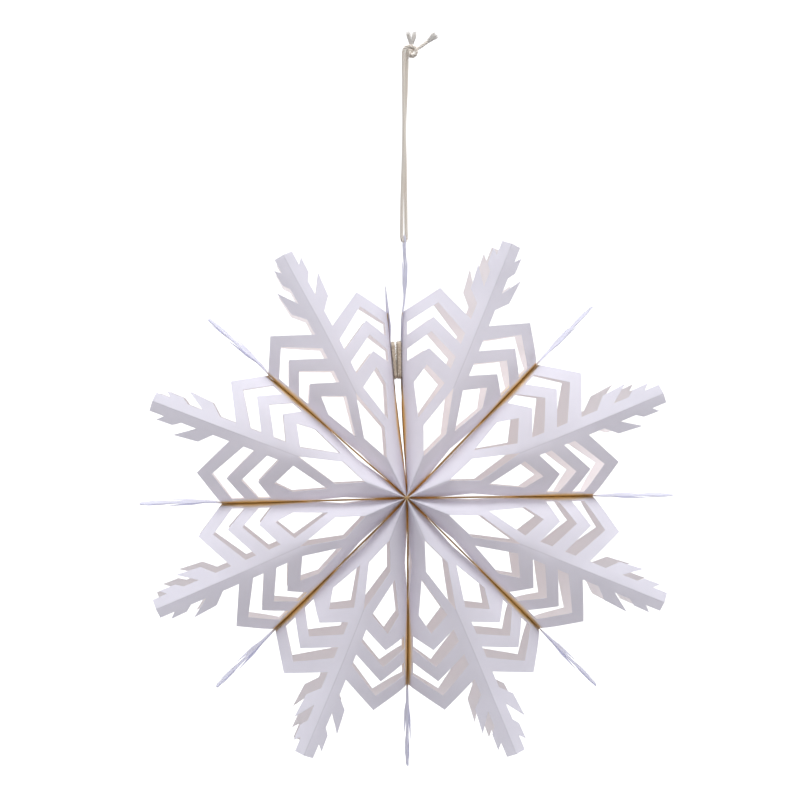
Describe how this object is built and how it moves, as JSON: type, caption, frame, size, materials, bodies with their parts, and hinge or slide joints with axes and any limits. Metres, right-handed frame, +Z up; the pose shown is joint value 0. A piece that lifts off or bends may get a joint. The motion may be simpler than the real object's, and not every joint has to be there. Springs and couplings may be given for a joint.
{
  "type": "folding paper star",
  "caption": "Hanging paper snowflake star of cut and folded cells that fan open to a full circle, with a closure at the top and a knotted cotton cord loop.",
  "frame": {"origin": "the hanging point: the top of the cord loop, between its strands just under the knot", "axes": "+Z up, -Y towards the front, +X to the right seen from the front; the hub's axis is parallel to Y"},
  "size_m": [0.3969, 0.072, 0.5451],
  "materials": {
    "paper": "matte",
    "closure": "matte",
    "cord": "matte"
  },
  "bodies": {
    "hanger": {"cord_knot": "cord", "cord_tail_up": "cord", "cord_tail_side": "cord"},
    "cord": {"cord_loop": "cord"},
    "leaf_0": {"leaf_0": "paper", "pad_first": "closure", "cell1_front_a": "paper", "cell1_back_a": "paper"},
    "leaf_1": {"leaf_1": "paper", "cell1_front_b": "paper", "cell1_back_b": "paper", "cell2_front_a": "paper", "cell2_back_a": "paper"},
    "leaf_2": {"leaf_2": "paper", "cell2_front_b": "paper", "cell2_back_b": "paper", "cell3_front_a": "paper", "cell3_back_a": "paper"},
    "leaf_3": {"leaf_3": "paper", "cell3_front_b": "paper", "cell3_back_b": "paper", "cell4_front_a": "paper", "cell4_back_a": "paper"},
    "leaf_4": {"leaf_4": "paper", "cell4_front_b": "paper", "cell4_back_b": "paper", "cell5_front_a": "paper", "cell5_back_a": "paper"},
    "leaf_5": {"leaf_5": "paper", "cell5_front_b": "paper", "cell5_back_b": "paper", "cell6_front_a": "paper", "cell6_back_a": "paper"},
    "leaf_6": {"leaf_6": "paper", "cell6_front_b": "paper", "cell6_back_b": "paper", "cell7_front_a": "paper", "cell7_back_a": "paper"},
    "leaf_7": {"leaf_7": "paper", "cell7_front_b": "paper", "cell7_back_b": "paper", "cell8_front_a": "paper", "cell8_back_a": "paper"},
    "leaf_8": {"leaf_8": "paper", "pad_last": "closure", "cell8_front_b": "paper", "cell8_back_b": "paper"}
  },
  "joints": [
    {"name": "turn", "type": "hinge", "parent": "hanger", "child": "cord", "pos_m": [0, 0, 0], "axis": [0, 0, 1], "range_deg": [-90, 90], "stiffness_Nm_per_rad": 0.001, "deforming": ["cord_loop"]},
    {"name": "swing", "type": "hinge", "parent": "cord", "child": "leaf_0", "pos_m": [-0.00374, 0, -0.1353], "axis": [1, 0, 0], "range_deg": [-60, 60]},
    {"name": "fan_1", "type": "hinge", "parent": "leaf_0", "child": "leaf_1", "pos_m": [0.00142, 0, -0.32467], "axis": [0, -1, 0], "range_deg": [0, 45.4], "deforming": ["cell1_front_a", "cell1_front_b", "cell1_back_a", "cell1_back_b", "cord_loop"]},
    {"name": "fan_2", "type": "hinge", "parent": "leaf_1", "child": "leaf_2", "pos_m": [0.00221, 0, -0.32544], "axis": [0, -1, 0], "range_deg": [0, 45.4], "deforming": ["cell2_front_a", "cell2_front_b", "cell2_back_a", "cell2_back_b"]},
    {"name": "fan_3", "type": "hinge", "parent": "leaf_2", "child": "leaf_3", "pos_m": [0.00222, 0, -0.32654], "axis": [0, -1, 0], "range_deg": [0, 45.4], "deforming": ["cell3_front_a", "cell3_front_b", "cell3_back_a", "cell3_back_b"]},
    {"name": "fan_4", "type": "hinge", "parent": "leaf_3", "child": "leaf_4", "pos_m": [0.00145, 0, -0.32732], "axis": [0, -1, 0], "range_deg": [0, 45.4], "deforming": ["cell4_front_a", "cell4_front_b", "cell4_back_a", "cell4_back_b"]},
    {"name": "fan_5", "type": "hinge", "parent": "leaf_4", "child": "leaf_5", "pos_m": [0.00034, 0, -0.32731], "axis": [0, -1, 0], "range_deg": [0, 45.4], "deforming": ["cell5_front_a", "cell5_front_b", "cell5_back_a", "cell5_back_b"]},
    {"name": "fan_6", "type": "hinge", "parent": "leaf_5", "child": "leaf_6", "pos_m": [-0.00049, 0, -0.32659], "axis": [0, -1, 0], "range_deg": [0, 42.81], "deforming": ["cell6_front_a", "cell6_front_b", "cell6_back_a", "cell6_back_b"]},
    {"name": "fan_7", "type": "hinge", "parent": "leaf_6", "child": "leaf_7", "pos_m": [-0.00052, 0, -0.32549], "axis": [0, -1, 0], "range_deg": [0, 42.81], "deforming": ["cell7_front_a", "cell7_front_b", "cell7_back_a", "cell7_back_b"]},
    {"name": "fan_8", "type": "hinge", "parent": "leaf_7", "child": "leaf_8", "pos_m": [0.00021, 0, -0.32466], "axis": [0, -1, 0], "range_deg": [0, 42.81], "deforming": ["cell8_front_a", "cell8_front_b", "cell8_back_a", "cell8_back_b"]}
  ],
  "couplings": [
    {"joint": "fan_2", "follows": "fan_1", "ratio": 1},
    {"joint": "fan_3", "follows": "fan_1", "ratio": 1},
    {"joint": "fan_4", "follows": "fan_1", "ratio": 1},
    {"joint": "fan_5", "follows": "fan_1", "ratio": 1},
    {"joint": "fan_6", "follows": "fan_1", "ratio": 0.94273},
    {"joint": "fan_7", "follows": "fan_1", "ratio": 0.94273},
    {"joint": "fan_8", "follows": "fan_1", "ratio": 0.94273}
  ]
}
